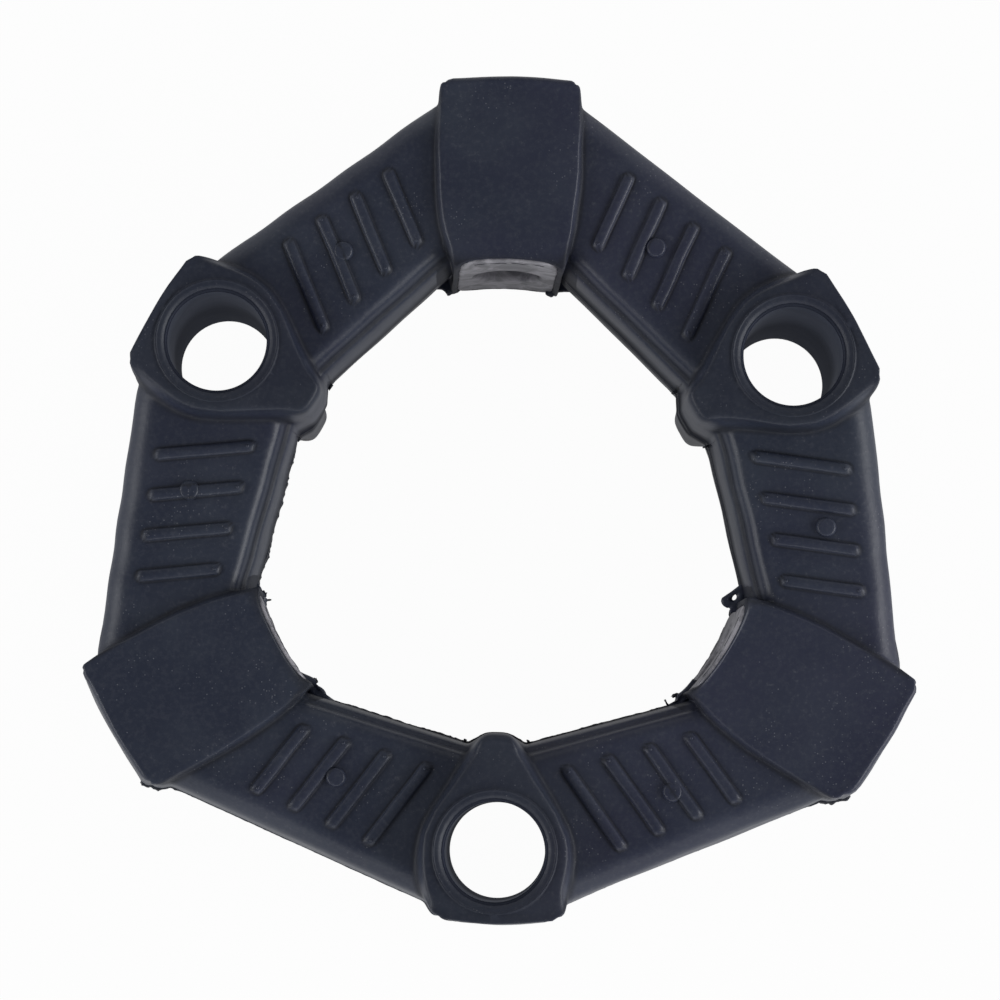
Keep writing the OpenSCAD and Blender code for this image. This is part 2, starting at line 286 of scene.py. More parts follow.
block = {
    "halfHeight": 24.5, "outerRadius": 110.1, "bulge": 1.4, "bulgeHeight": 22.9, "headHole": 26,
    "seatRadius": 62.85, "seatHeights": [1.2, 7, 13.4, 15.3, 17.8, 20.2, 22.0, 23.6, 24.5],
    "seatCorner": (60.9, 13.6), "seatRound": (0.9, 1.3),
    "topEdge": [(63.0, 13.5), (67.6, 14.6), (73.2, 15.7), (78.8, 16.5), (84, 16.95), (88.7, 17.2),
                (93.3, 17.35), (98, 17.45), (102.4, 17.45), (106.0, 17.4)],
    "topStart": 63.9, "topBevel": 2.8, "topInset": 1.8, "edgeDrop": 0.5,
    # setbacks from the outer radius with half widths: of the corner, the edge below it, and the rim
    "corner": (1.3, 17.2), "wallEdge": (1.1, 17.3), "rimBevel": 1.0,
    "wallHeights": [22.8, 19, 14, 8, 1.2], "wornCorner": (109.4, 17.4),
    # columns inside the edge: distance from the middle at the seat, share of the width, distance at the end
    "columns": [(1.2, 0.08, 1.2), (6.0, 0.45, 6.5), (11.4, 0.85, 12.2)],
    "slopes": [(0.34, 0.34, 0.28), (0.76, 0.76, 0.84)],
    "foot": [(63.3, 13.65), (64.6, 14.5), (68, 16.0), (73, 17.4), (82, 18.4), (92, 18.4), (98, 18.2),
             (101.5, 18.0), (105.3, 18.0)],
    "footShares": [0.12, 0.25, 0.39, 0.53, 0.67, 0.81, 0.92],
    # film of rubber over the seat's rim: half sizes, corner radius, raggedness, and where it draws back
    "film": (12.35, 23.9), "filmRound": 2.6, "filmRagged": 0.035, "filmBack": (22.6, 1.1, 1.25),
    "filmDepth": 0.5, "pocket": (12.5, 23.0), "pocketStart": 65.4, "pocketEnd": 97.0,
    # cells round the bolt head's hole that follow it, and how far, as a share of the hole
    "pressRows": 4, "pressColumns": 5, "pressReach": 0.36,
}


# The net over half a block, in the block's own frame: 7 columns, from its middle plane outwards
def blockColumns():
    h, outer = block["halfHeight"], block["outerRadius"]
    edge = np.zeros((rowCount, 3))
    edge[:sideRows, :2] = block["seatCorner"]
    edge[:sideRows, 2] = block["seatHeights"]
    edge[sideRows:cornerRow, :2] = block["topEdge"]
    edge[sideRows:cornerRow, 2] = h - block["edgeDrop"]
    edge[cornerRow] = (outer - block["corner"][0], block["corner"][1], h)
    wallZ = np.array(block["wallHeights"])
    bulge = block["bulge"] * np.clip(1 - wallZ / block["bulgeHeight"], 0, 1)
    setback, half = block["wallEdge"]
    edge[cornerRow + 1:] = np.column_stack([outer - setback + bulge, np.full(len(wallZ), half), wallZ])
    radius = np.concatenate([[outer - block["rimBevel"]], outer + bulge])
    top = slice(sideRows, cornerRow)
    columns = []
    for seatY, share, wallY in block["columns"]:
        column = edge.copy()
        column[:sideRows, 0] = np.sqrt(block["seatRadius"] ** 2 - seatY ** 2)
        column[:sideRows, 1] = seatY
        column[sideRows - 2:sideRows, 0] += block["seatRound"]
        column[top, 0] = np.linspace(block["topStart"], outer - block["topBevel"], cornerRow - sideRows)
        column[top, 1] = edge[top, 1] * share
        column[cornerRow:, 0] = np.sqrt(radius ** 2 - wallY ** 2)
        column[cornerRow:, 1] = wallY
        columns.append(column)
    outline = edge[sideRows - 1:cornerRow + 1, :2]
    columns[-1][top, :2] = (outline + block["topInset"] * rightOf(outline))[1:-1]
    foot = footLine(block["foot"], [60 - turn for turn in armTurns], block["footShares"])
    return columns + [edge] + slopeColumns(edge, foot, block["slopes"])


# Points of the block's frame, whose y faces the boss, in the boss's frame, and the other way round
def swapFrame(points):
    return turned(mirrored(points, 1), 60)


# All columns of the net, from the boss's middle plane to the block's, with their ghosts
def bodyNet():
    bossSide, blockSide = bossColumns(), [swapFrame(column) for column in blockColumns()]
    turns = np.radians(np.interp(np.arange(rowCount), [innerRows - 1, outerRow], armTurns))
    step = body["footStep"] * np.column_stack([-np.sin(turns), np.cos(turns), np.zeros(rowCount)])
    nearBoss = bossSide[-1] + step
    nearBlock = blockSide[-1] - step
    straight = [straightColumn(place) for place in body["straightPlaces"]]
    columns = bossSide + [nearBoss, (nearBoss + straight[0]) / 2] + straight
    columns += [(nearBlock + straight[-1]) / 2, nearBlock] + blockSide[::-1]
    ghosts = mirrored(columns[0], 1), swapFrame(mirrored(swapFrame(columns[-1]), 1))
    net = np.stack([ghosts[0]] + columns + [ghosts[1]], axis=1)
    return np.concatenate([mirrored(net[:1], 2), net, mirrored(net[-1:], 2)])


# Places of the columns that follow the ribs, found from where each column crosses the arm's middle
def ribColumns(net):
    samples = 1600
    fine = np.linspace(*netPlaces["ribSearch"], samples)
    weights = quadraticWeights(fine, net.shape[1] - 2)
    middleRow = np.einsum("cj,jk->ck", weights, net[netPlaces["middleRow"]])[:, :2]
    along, middle = middleRow @ heading(body["armTurn"] + 90), middleRow @ heading(body["armTurn"])
    run = heading(body["ribTurn"] - body["armTurn"])
    along = along - (middle - body["armMiddle"]) * run[1] / run[0]
    offsets = np.array(body["ribOffsets"]) / body["ribSlant"]
    wanted = np.concatenate([place + offsets for place in body["ribPlaces"]] + [body["betweenRibs"]])
    low, high = netPlaces["ribs"]
    return [v for v in np.interp(np.sort(wanted), along, fine) if low < v < high]


# Middle point of each rib on the arm's middle line, and how far its round ends lie from there
def ribLines():
    run = heading(body["ribTurn"])
    lines = []
    for place in body["ribPlaces"]:
        middle = armPoint(place)
        low = (body["ribInner"] - middle @ heading(body["innerTurn"])) / (run @ heading(body["innerTurn"]))
        high = (body["ribOuter"] - middle @ heading(body["outerTurn"])) / (run @ heading(body["outerTurn"]))
        lines.append((middle, low + body["ribRadius"], high - body["ribRadius"]))
    return lines


# Distance from the nearest rib's middle line, round its ends too
def ribDistance(plan):
    nearest = np.full(plan.shape[:-1], faraway)
    run, across = heading(body["ribTurn"]), heading(body["ribTurn"] + 90)
    for middle, low, high in ribLines():
        along = (plan - middle) @ run
        past = along - np.clip(along, low, high)
        nearest = np.minimum(nearest, np.hypot(past, (plan - middle) @ across))
    return nearest


# Opens the pad for the bore: the middle line of the flat top moves out on to the rim's half circle,
# and the columns between it and the pad's edge share the move, less and less
def openPad(patch, u, v):
    start, stop = netPlaces["pad"]
    rows = np.where((u > start - 0.01) & (u < stop + 0.01))[0]
    last = np.argmin(abs(v - netPlaces["padColumn"]))
    first, end = (np.argmin(abs(u - place)) for place in netPlaces["rim"])
    centre, radius = body["boltRadius"], body["rimRadius"]
    angle = np.pi * np.clip((np.arange(len(u)) - first) / (end - first), 0, 1)
    line = np.zeros((len(u), 2))
    line[:, 0] = centre - radius * np.cos(angle)
    line[:, 1] = radius * np.sin(angle)
    line[end, 1] = 0
    before = np.arange(rows[0], first)
    after = np.arange(end + 1, rows[-1] + 1)
    line[before, 0] = np.interp(u[before], [start, u[first]], [patch[rows[0], 0, 0], centre - radius])
    line[after, 0] = np.interp(u[after], [u[end], stop], [centre + radius, patch[rows[-1], 0, 0]])
    old = patch[rows, :last + 1, :2]
    reach = np.linalg.norm(old - old[:, :1], axis=2)
    share = reach / reach[:, -1:]
    move = (line[rows] - old[:, 0])[:, None, :] * (1 - share)[..., None]
    patch[rows, :last + 1, :2] += move
    return first, end


# Rings from the bore's rim down to half height: each is the rim's half circle at its own radius
def mouthWall(patch, first, end):
    rim = patch[first:end + 1, 0]
    centre = np.array([body["boltRadius"], 0])
    out = (rim[:, :2] - centre) / body["rimRadius"]
    rings = [np.column_stack([centre + out * radius, np.full(len(rim), height)])
             for radius, height in body["mouth"]]
    rings[0] = rim
    return np.stack(rings, axis=0)


def onSeat(sideways, height, radius):
    return np.stack([np.sqrt(radius ** 2 - sideways ** 2), sideways, height], axis=-1)


# The torn edge of the rubber film that laps over the metal seat: a round-cornered rectangle, made uneven
def filmEdge(loop):
    size, radius = np.array(block["film"]), block["filmRound"]
    corner = size - radius
    part = loop[:, 1:] - corner
    beyond = (part > 0).all(axis=1)
    length = np.linalg.norm(part, axis=1)
    plan = loop[:, 1:].copy()
    plan[beyond] = corner + part[beyond] / length[beyond, None] * radius
    plan = np.minimum(plan, size)
    return plan * (1 - block["filmRagged"] * np.random.default_rng(2).random(len(plan))[:, None] ** 2)


# Strip of triangles between one open line of points and another that follows it in the same array
def stripFaces(first, second):
    a, b = np.arange(first - 1), np.arange(second - 1)
    ratio = len(b) / len(a)
    return np.concatenate([
        np.column_stack([a, a + 1, first + np.floor((a + 0.5) * ratio).astype(int)]),
        np.column_stack([b + first + 1, b + first, np.ceil((b + 1) / ratio - 0.5).astype(int)])])


# Opens a block's inner end for the metal seat and its outer end for the bolt's head.
# Gives the patch, the cells to keep and the quarter tunnel between the two openings.
def openBlock(patch, u, v):
    local = swapFrame(patch)
    rowIn, rowOut = (np.argmin(abs(u - netPlaces[key][0])) for key in ("seat", "head"))
    colIn, colOut = (np.argmin(abs(v - netPlaces[key][1])) for key in ("seat", "head"))
    # the outer opening: a square of cells is pressed into a circle, and its surroundings follow
    area = (slice(rowOut - block["pressRows"], None), slice(colOut - block["pressColumns"], None))
    flat = local[area][..., 1:]
    scaled = flat / [local[-1, colOut, 1], local[rowOut, -1, 2]]
    most = np.maximum(scaled.max(axis=-1), 1e-6)
    length = np.maximum(np.linalg.norm(scaled, axis=-1), 1e-6)
    pressed = scaled / length[..., None] * (block["headHole"] / 2 * most)[..., None]
    share = np.clip((1 + block["pressReach"] - most) / block["pressReach"], 0, 1)
    moved = pressed * share[..., None] + flat * (1 - share)[..., None]
    bulge = block["bulge"] * (1 - abs(moved[..., 1]) / block["bulgeHeight"])
    wall = np.sqrt((block["outerRadius"] + bulge) ** 2 - moved[..., 0] ** 2)
    local[area] = np.dstack([local[area][..., 0] * (1 - share) + wall * share, moved])
    # the inner opening: the film's edge, its thickness, and the pocket behind it that holds the insert
    film = filmEdge(np.concatenate([local[:rowIn + 1, colIn], local[rowIn, colIn + 1:]]))
    backStart, backLength, back = block["filmBack"]
    reach = block["seatRadius"] + back * np.clip((film[:, 1] - backStart) / backLength, 0, 1)
    edgeIn = onSeat(film[:, 0], film[:, 1], reach)
    local[:rowIn + 1, colIn] = edgeIn[:rowIn + 1]
    local[rowIn, colIn + 1:] = edgeIn[rowIn + 1:]
    pocket = film / np.max(film / block["pocket"], axis=1)[:, None]
    rings = np.stack([edgeIn, onSeat(film[:, 0], film[:, 1], reach + block["filmDepth"]),
                      np.column_stack([np.full(len(film), block["pocketStart"]), pocket]),
                      np.column_stack([np.full(len(film), block["pocketEnd"]), pocket])])
    loopOut = np.concatenate([local[:rowOut - 1:-1, colOut], local[rowOut, colOut + 1:]])
    innerEnd = loopOut.copy()
    innerEnd[:, 0] = block["pocketEnd"]
    tunnel = [(rings, gridFaces(len(rings), len(film))),
              (np.concatenate([rings[-1], innerEnd]), stripFaces(len(film), len(loopOut))),
              (np.stack([innerEnd, loopOut]), gridFaces(2, len(loopOut)))]
    keep = np.ones((len(u) - 1, len(v) - 1), dtype=bool)
    keep[:rowIn, colIn:] = False
    keep[rowOut:, colOut:] = False
    return swapFrame(local), keep, [(swapFrame(points), faces) for points, faces in tunnel]


# One twelfth of the moulding and its two ends of the parting line
def bodyPatch():
    net = bodyNet()
    u = spread(body["rowCounts"])
    v = np.sort(np.concatenate([spread(body["bossCounts"])[:-1], ribColumns(net),
                                spread(body["blockCounts"]) + netPlaces["blockStart"]]))
    rows = quadraticWeights(u, net.shape[0] - 2)
    across = quadraticWeights(v, net.shape[1] - 2)
    patch = np.einsum("ri,ijk,cj->rck", rows, net, across)
    patch[:, 0, 1] = 0  # the middle plane, exactly
    (panelStart, panelEnd), (armStart, armEnd) = netPlaces["panel"], netPlaces["arm"]
    onPanel = np.outer((u > panelStart) & (u < panelEnd), (v > armStart) & (v < armEnd))
    patch[..., 2] += np.interp(ribDistance(patch[..., :2]), *body["ribProfile"]) * onPanel
    first, end = openPad(patch, u, v)
    wall = mouthWall(patch, first, end)
    patch, keep, tunnel = openBlock(patch, u, v)
    faces = gridFaces(len(u), len(v))[keep.ravel()]
    colIn, colOut = (np.argmin(abs(v - netPlaces[key][1])) for key in ("seat", "head"))
    seams = patch[0, :colIn + 1], patch[-1, :colOut + 1]
    return [(patch, faces), (wall, gridFaces(len(wall), end - first + 1)[:, ::-1])] + tunnel, seams


# A profile of radius and height turned about a vertical axis through the origin, all the way round
def lathe(profile, segments):
    profile = np.array(profile)
    angle = np.linspace(0, 2 * np.pi, segments + 1)
    points = np.stack([profile[:, :1] * np.cos(angle), profile[:, :1] * np.sin(angle),
                       profile[:, 1:] * np.ones_like(angle)], axis=-1)
    points[:, -1] = points[:, 0]
    return points, gridFaces(len(profile), segments + 1)


twelfth, seams = bodyPatch()


# Rises from 0 at the start to 1 a length further on, softly at both ends; falls for a negative length
def soft(value, start=0, length=1):
    t = np.clip((value - start) / length, 0, 1)
    return t * t * (3 - 2 * t)


# Where this moulding departs from its plain form: the lower half of the mould sits to one side, the
# bores lean, some arms stand further out, the corners are worn rounder and nothing is quite even
wear = {
    "lowerShift": (-0.65, 0.0), "seamBlend": 1.3,
    "blockLean": 0.6,  # of the blocks, at full height
    "boreLeans": {30: (-0.8, -1.1), 150: (-0.7, -0.2), 270: (0.7, 0.5)},  # of the lower end
    "boreShifts": {30: (-0.4, -0.5), 150: (0.4, 0.2), 270: (0, 0)},
    # kind of push, direction, side and amount: bows of the arms, shifts of the outer ends along their width
    "pushes": [("bow", 6.8, -1, 0.6), ("bow", 53.2, 1, -0.1), ("bow", 126.8, -1, 0.2), ("bow", 173.2, 1, 0.6),
               ("bow", 246.8, -1, -0.25), ("bow", 293.2, 1, 0.1), ("endShift", 270, 1, 0.9),
               ("cornerShift", 330, 1, 0.6), ("innerBow", 166.2, 1, -0.1), ("innerBow", 13.8, -1, 0.3),
               ("innerBow", 46.2, 1, -0.25)],
    # how far a block stands out at its middle and its corners, and more at one corner than at the other
    "blockReach": {90: (0.0, -0.1, 0), 210: (-0.25, 0.1, -0.2), 330: (-0.4, -0.05, 0.15)},
    "reachHalf": 17, "reachEnd": 24,  # half the width from corner to corner, and how far sideways it acts
    # direction, side or 0 for both, and radius of each corner that is worn
    "corners": [(30, 0, 2.4), (150, 0, 2.3), (270, 0, 2.7), (90, 0, 2.6), (210, -1, 2.6), (330, 1, 2.3),
                (210, 1, 5.0), (330, -1, 5.2)],
    "cornerSpread": 0.8, "cornerDepth": 7, "cornerDraft": 0.8,  # more radius and reach below the top edge
    "noses": {30: (-0.3, -0.4), 150: (-0.2, -1.3), 270: (0.2, 0.5)},  # of their lower half
    # sine waves over all the rubber: their number, lengths, latest phase, height and its share on each axis
    "waves": 9, "shortest": 9, "longest": 34, "phase": 6.3, "ripple": 0.06, "waveShares": (1, 1, 0.7),
    # only the leans come near the metal: a sleeve's radius, an insert's sizes, and the margin round them
    "sleeve": 14.6, "insertHalf": 12.6, "insertEnds": (58, 98.5), "insertHeight": 23.1, "margin": 2.6,
}

# Where each kind of wear starts and over what length it comes in, or goes out if that is negative
spans = {
    "block": (56, 4), "blockSide": (16.8, -3), "nose": (60, -5), "noseSide": (11, -5), "bore": (21, -5),
    "reach": (99, 6), "oneSide": (8, 6),
}

# For each kind of push: its span away from the axis, the middle and the span of its place sideways, its turn
pushKinds = {
    "bow": ((86, 7), 13.2, (38, -8), 0), "innerBow": ((62.5, -3.5), 18, (30, -9), 0),
    "endShift": ((91, 7), 0, (26, -9), 90), "cornerShift": ((91, 7), 0, (26, -9), 90),
}


# 0 at the metal pieces and 1 a margin away from them
def outsideMetal(points):
    clear = np.ones(points.shape[:-1])
    start, end = wear["insertEnds"]
    for turn in bossTurns:
        distance = np.linalg.norm(turned(points, -turn)[..., :2] - [body["boltRadius"], 0], axis=-1)
        clear = clear * soft(distance, wear["sleeve"], wear["margin"])
        q = turned(points, -turn - 60)
        beyond = np.max([abs(q[..., 1]) - wear["insertHalf"], q[..., 0] - end,
                         abs(q[..., 2]) - wear["insertHeight"], start - q[..., 0]], axis=0)
        clear = clear * soft(beyond, 0, wear["margin"])
    return clear


# Presses a corner of the plan, in the frame of its boss or block, from a square into a circle
def rounded(points, turn, side, radius):
    q = turned(points, -turn)
    piece = boss if turn in bossTurns else block
    reach, halfWidth = piece["wornCorner"]
    below = piece["halfHeight"] - abs(q[..., 2])
    radius = radius + wear["cornerSpread"] * np.clip(below / wear["cornerDepth"], 0, 1)
    lean = wear["cornerDraft"] * np.clip(1 - abs(q[..., 2]) / block["bulgeHeight"], 0, 1)
    x = q[..., 0] - (reach + lean - radius)
    y = abs(q[..., 1]) - (halfWidth - radius)
    most, length = np.maximum(x, y), np.maximum(np.hypot(x, y), 1e-6)
    fade = np.clip(2 - most / radius, 0, 1) * ((x > 0) & (y > 0) & (q[..., 1] * side >= 0))
    pull = (1 - most / length) * fade
    q[..., 0] -= x * pull
    q[..., 1] -= y * pull * np.sign(q[..., 1])
    return turned(q, turn)


# Moves the points round each bore sideways, more towards its lower end
def leaned(points):
    out = np.array(points, dtype=float)
    high = boss["halfHeight"]
    for turn, lean in wear["boreLeans"].items():
        distance = np.linalg.norm(points[..., :2] - heading(turn) * body["boltRadius"], axis=-1)
        share = soft(distance, *spans["bore"])[..., None]
        out[..., :2] += share * (wear["boreShifts"][turn] + (high - points[..., 2:]) / (2 * high) * lean)
    return out


# Moves points by all the wear: shares of 0 to 1 in the frame of each boss, block or arm, times its push,
# then sine waves in random directions
def worn(points):
    out = np.array(points, dtype=float)
    clear = outsideMetal(out)
    below = soft(0.5 - out[..., 2] / wear["seamBlend"])  # 1 under the parting line and 0 over it
    for corner in wear["corners"]:
        out = rounded(out, *corner)

    def frameOf(turn, side=1):
        q = turned(out, -turn)
        return q[..., 0], q[..., 1] * side

    inBlock = np.zeros(out.shape[:-1])
    for turn in bossTurns:
        x, y = frameOf(turn + 60)
        inBlock += soft(x, *spans["block"]) * soft(abs(y), *spans["blockSide"])
    move = (below * clear * (1 - inBlock))[..., None] * wear["lowerShift"]
    move[..., 0] += inBlock * wear["blockLean"] * out[..., 2] / block["halfHeight"]
    for turn, push in wear["noses"].items():
        x, y = frameOf(turn)
        near = soft(x, *spans["nose"]) * soft(abs(y), *spans["noseSide"]) * (x > 0)
        move += (below * near)[..., None] * push
    for turn, (middle, corner, tilt) in wear["blockReach"].items():
        x, y = frameOf(turn)
        across = y / wear["reachHalf"]
        push = middle + (corner - middle) * across ** 2 + tilt * across
        move += (soft(x, *spans["reach"]) * (abs(y) < wear["reachEnd"]) * push)[..., None] * heading(turn)
    for kind, turn, side, push in wear["pushes"]:
        away, middle, sideways, aside = pushKinds[kind]
        x, y = frameOf(turn, side)
        share = soft(x, *away) * soft(abs(y - middle), *sideways) * (x > 0)
        if kind == "cornerShift":
            share = share * soft(y, *spans["oneSide"])
        move += (share * clear * push)[..., None] * heading(turn + aside)
    out[..., :2] += move
    random = np.random.default_rng(5)
    for _ in range(wear["waves"]):
        wave = random.normal(size=3)
        wave *= 2 * np.pi / random.uniform(wear["shortest"], wear["longest"]) / np.linalg.norm(wave)
        swing = np.sin(points @ wave + random.uniform(0, wear["phase"])) * clear
        out += swing[..., None] * (random.normal(size=3) * wear["ripple"] * wear["waveShares"])
    return leaned(out)


discs = {
    "profile": [(0, 1.2), (1.3, 1.22), (1.85, 1.17), (2.15, 1.02), (2.35, 0.7), (2.45, 0.25), (2.6, -0.3),
                (0, -0.3)],
    "places": [(66.1, 40.1), (69, 41), (69.3, 34.5), (68, 36), (67, 43.5), (65, 39.5)],
    "pip": [(0, 0.24), (0.15, 0.22), (0.3, 0.13), (0.4, 0.0), (0.45, -0.2), (0.45, -0.4), (0, -0.4)],
    "pipShare": 0.5, "pipScatter": 0.12, "around": 32, "pipAround": 14,
}


# All twelve parts of the body, the six discs and the pips at the ribs' ends, as (points, faces)
def bodyParts():
    parts = []
    for turn in bossTurns:
        for side in (False, True):
            for lower in (False, True):
                for points, faces in twelfth:
                    copy = mirrored(points, 1) if side else points
                    copy = mirrored(copy, 2) if lower else copy
                    parts.append((turned(copy, turn), faces))
    cap, capFaces = lathe(discs["profile"], discs["around"])
    for k, (x, y) in enumerate(discs["places"]):
        centre = np.array([x, y if k % 2 == 0 else -y, body["panelHeight"]])
        parts.append((turned(cap + centre, bossTurns[k // 2]), capFaces))
    pip, pipFaces = lathe(discs["pip"], discs["pipAround"])
    random = np.random.default_rng(11)
    run = heading(body["ribTurn"])
    for turn in bossTurns:
        for side in (1, -1):
            for middle, low, high in ribLines():
                for along in (low, high):
                    if along == high and random.random() < discs["pipShare"]:
                        continue
                    centre = np.append(middle + run * along, body["panelHeight"] + body["ribRise"])
                    centre[:2] += random.normal(size=2) * discs["pipScatter"]
                    copy = mirrored(pip + centre, 1) if side < 0 else pip + centre
                    parts.append((turned(copy, turn), pipFaces))
    return parts


def wornAll(parts):
    return [(worn(points), faces) for points, faces in parts]


# Distance in the plan from an open polyline
def lineDistance(plan, line):
    nearest = np.full(len(plan), faraway)
    for start, end in zip(line[:-1], line[1:]):
        run = end - start
        share = np.clip((plan - start) @ run / (run @ run), 0, 1)
        nearest = np.minimum(nearest, np.linalg.norm(plan - start - share[:, None] * run, axis=1))
    return nearest


# Painted shade over a distance or a height in mm, as places and amounts
paintedShadeLook = {
    "rib": ([1.25, 1.5, 1.7, 2.2], [0, 0.85, 0.85, 0]), "ribHeight": 20,
    "foot": ([0.3, 1.2], [0.8, 0]), "footHeight": ([12, 18], [0, 1]),
    "ledge": ([15.2, 15.9, 16.6, 18.2], [0, 0.75, 0.75, 0]), "ledgeOffsets": (56.3, 60),
    "ledgeFade": ([-50, -35], [0.15, 1]),  # over y
    "seam": ([1.3, 7], [0.9, 0]), "seamOffset": 57,
    "seat": ([62.6, 64.4], [0.8, 0]), "seatHalf": 17.6, "pad": ([25, 27.5], [0, 0.35]),
    "bossSide": 26, "blockSide": 30,  # distance from the axis beyond which a point is on that side of it
}


# Painted shade round each rib, along the feet of bosses and blocks, on the ledges, low on the arms' inner
# walls and by the seats, and a darker tone on the pads' tops: an attribute
def markPaintedShade(thing):
    look, mesh = paintedShadeLook, thing.data
    points = np.empty(len(mesh.vertices) * 3)
    mesh.vertices.foreach_get("co", points)
    points = points.reshape(-1, 3) / mm
    height = abs(points[:, 2])
    nearRib, nearFoot, offset = np.full((3, len(points)), faraway)
    bySeat = np.zeros(len(points))
    for turn in bossTurns:
        for piece, away in ((boss, 0), (block, 60)):
            plan = turned(points, -turn - away)[:, :2]
            plan[:, 1] = abs(plan[:, 1])
            nearFoot = np.minimum(nearFoot, lineDistance(plan, np.array(piece["foot"])))
            if piece is block:
                near = (plan[:, 0] > look["blockSide"]) & (plan[:, 1] < look["seatHalf"])
                bySeat = np.maximum(bySeat, np.interp(plan[:, 0], *look["seat"]) * near)
            else:
                nearRib = np.minimum(nearRib, ribDistance(plan))
                facing = plan @ heading(body["innerTurn"])
                offset = np.where(plan[:, 0] > look["bossSide"], facing, offset)
    low, high = look["ledgeOffsets"]
    ledge = np.interp(height, *look["ledge"]) * np.interp(points[:, 1], *look["ledgeFade"])
    shadeAmount = np.max([np.interp(nearRib, *look["rib"]) * (height > look["ribHeight"]),
                   np.interp(nearFoot, *look["foot"]) * np.interp(height, *look["footHeight"]),
                   ledge * (offset > low) * (offset < high),
                   np.interp(height, *look["seam"]) * (offset < look["seamOffset"]),
                   bySeat, np.interp(height, *look["pad"])], axis=0)
    mesh.attributes.new("paintedShade", "FLOAT", "POINT").data.foreach_set("value", shadeAmount.astype(np.float32))


rubberBody = meshObject("rubberBody", wornAll(bodyParts()))
markPaintedShade(rubberBody)
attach(rubberBody, "root")
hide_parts("rubber_body")
print("rubber body", len(rubberBody.data.polygons))


sleeves = {
    "bore": 12.25, "outside": 13.98, "end": 27.78, "round": 0.9, "bevel": 0.4, "arcPoints": 6, "around": 96,
}


# A sleeve's section, as radius and height, going round from its lower inside to its upper one
def sleeveProfile():
    bore, outside, end, r, bevel = (sleeves[key] for key in ("bore", "outside", "end", "round", "bevel"))
    arc = np.radians(np.linspace(0, 90, sleeves["arcPoints"]))
    half = [(bore + r - r * math.cos(a), end - r + r * math.sin(a)) for a in arc]
    half += [(outside - bevel + bevel * math.sin(a), end - bevel + bevel * math.cos(a)) for a in arc[::2]]
    lower = [(radius, -height) for radius, height in half[::-1]]
    return lower[-1:] + half + lower


for k, turn in enumerate(bossTurns):
    points, faces = lathe(sleeveProfile(), sleeves["around"])
    place = np.append(heading(turn) * body["boltRadius"], 0)
    sleeve = meshObject("axialSleeve%d" % (k + 1), [(leaned(points + place), faces)])
    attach(sleeve, "root")
    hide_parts("axial_sleeve_%d" % (k + 1))
print("sleeves")

inserts = {
    "bore": 8.5, "seat": 63.0, "halfWidth": 12.45, "halfHeight": 24.2, "body": 22.9, "back": 97.0,
    "neck": 75, "shoulder": 65.3, "around": 96, "squareness": 9,
    # by how much the bore widens at its mouth, at what depth under the seat; then the seat's own edge
    "mouth": [(0, 1.4), (0.12, 0.5), (0.5, 0.08), (1, 0)], "between": (0.3, 0.65, 1),
    "edge": [(0.9, 0), (0.45, 0.1), (0.15, 0.33), (0, 0.7)],
}


# Section loops of an insert in its block's frame: the bore from its back end to its rounded mouth,
# the hollow seat, then the four sides; each loop is a circle or |y/a|^n + |z/b|^n = 1
def insertRings():
    angle = np.linspace(0, 2 * np.pi, inserts["around"] + 1)
    c, s = np.cos(angle), np.sin(angle)
    n, bore, seat, back = (inserts[key] for key in ("squareness", "bore", "seat", "back"))

    def square(less, high=inserts["halfHeight"]):
        size = (abs(c / (inserts["halfWidth"] - less)) ** n + abs(s / (high - less)) ** n) ** (-1 / n)
        return np.column_stack([c * size, s * size])

    def circle(more):
        return np.column_stack([c, s]) * (bore + more)

    def hollow(loop, depth):
        return np.column_stack([np.sqrt((seat + depth) ** 2 - loop[:, 0] ** 2), loop])

    def flat(loop, x):
        return np.column_stack([np.full(len(loop), x), loop])

    widest, rim = circle(inserts["mouth"][-1][0]), square(inserts["edge"][0][0])
    rings = [flat(circle(0), back), flat(circle(0), inserts["neck"])]
    rings += [hollow(circle(more), depth) for more, depth in inserts["mouth"]]
    rings += [hollow((1 - t) * widest + t * rim, 0) for t in inserts["between"]]
    rings += [hollow(square(less), depth) for less, depth in inserts["edge"][1:]]
    sides = square(0, inserts["body"])
    points = np.stack(rings + [flat(sides, inserts["shoulder"]), flat(sides, back), rings[0]])
    points[:, -1] = points[:, 0]
    return points


for k, turn in enumerate(bossTurns):
    rings = insertRings()
    parts = [(turned(rings, turn + 60), gridFaces(len(rings), rings.shape[1]))]
    insert = meshObject("radialInsert%d" % (k + 1), wornAll(parts))
    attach(insert, "root")
    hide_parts("radial_insert_%d" % (k + 1))
print("inserts")


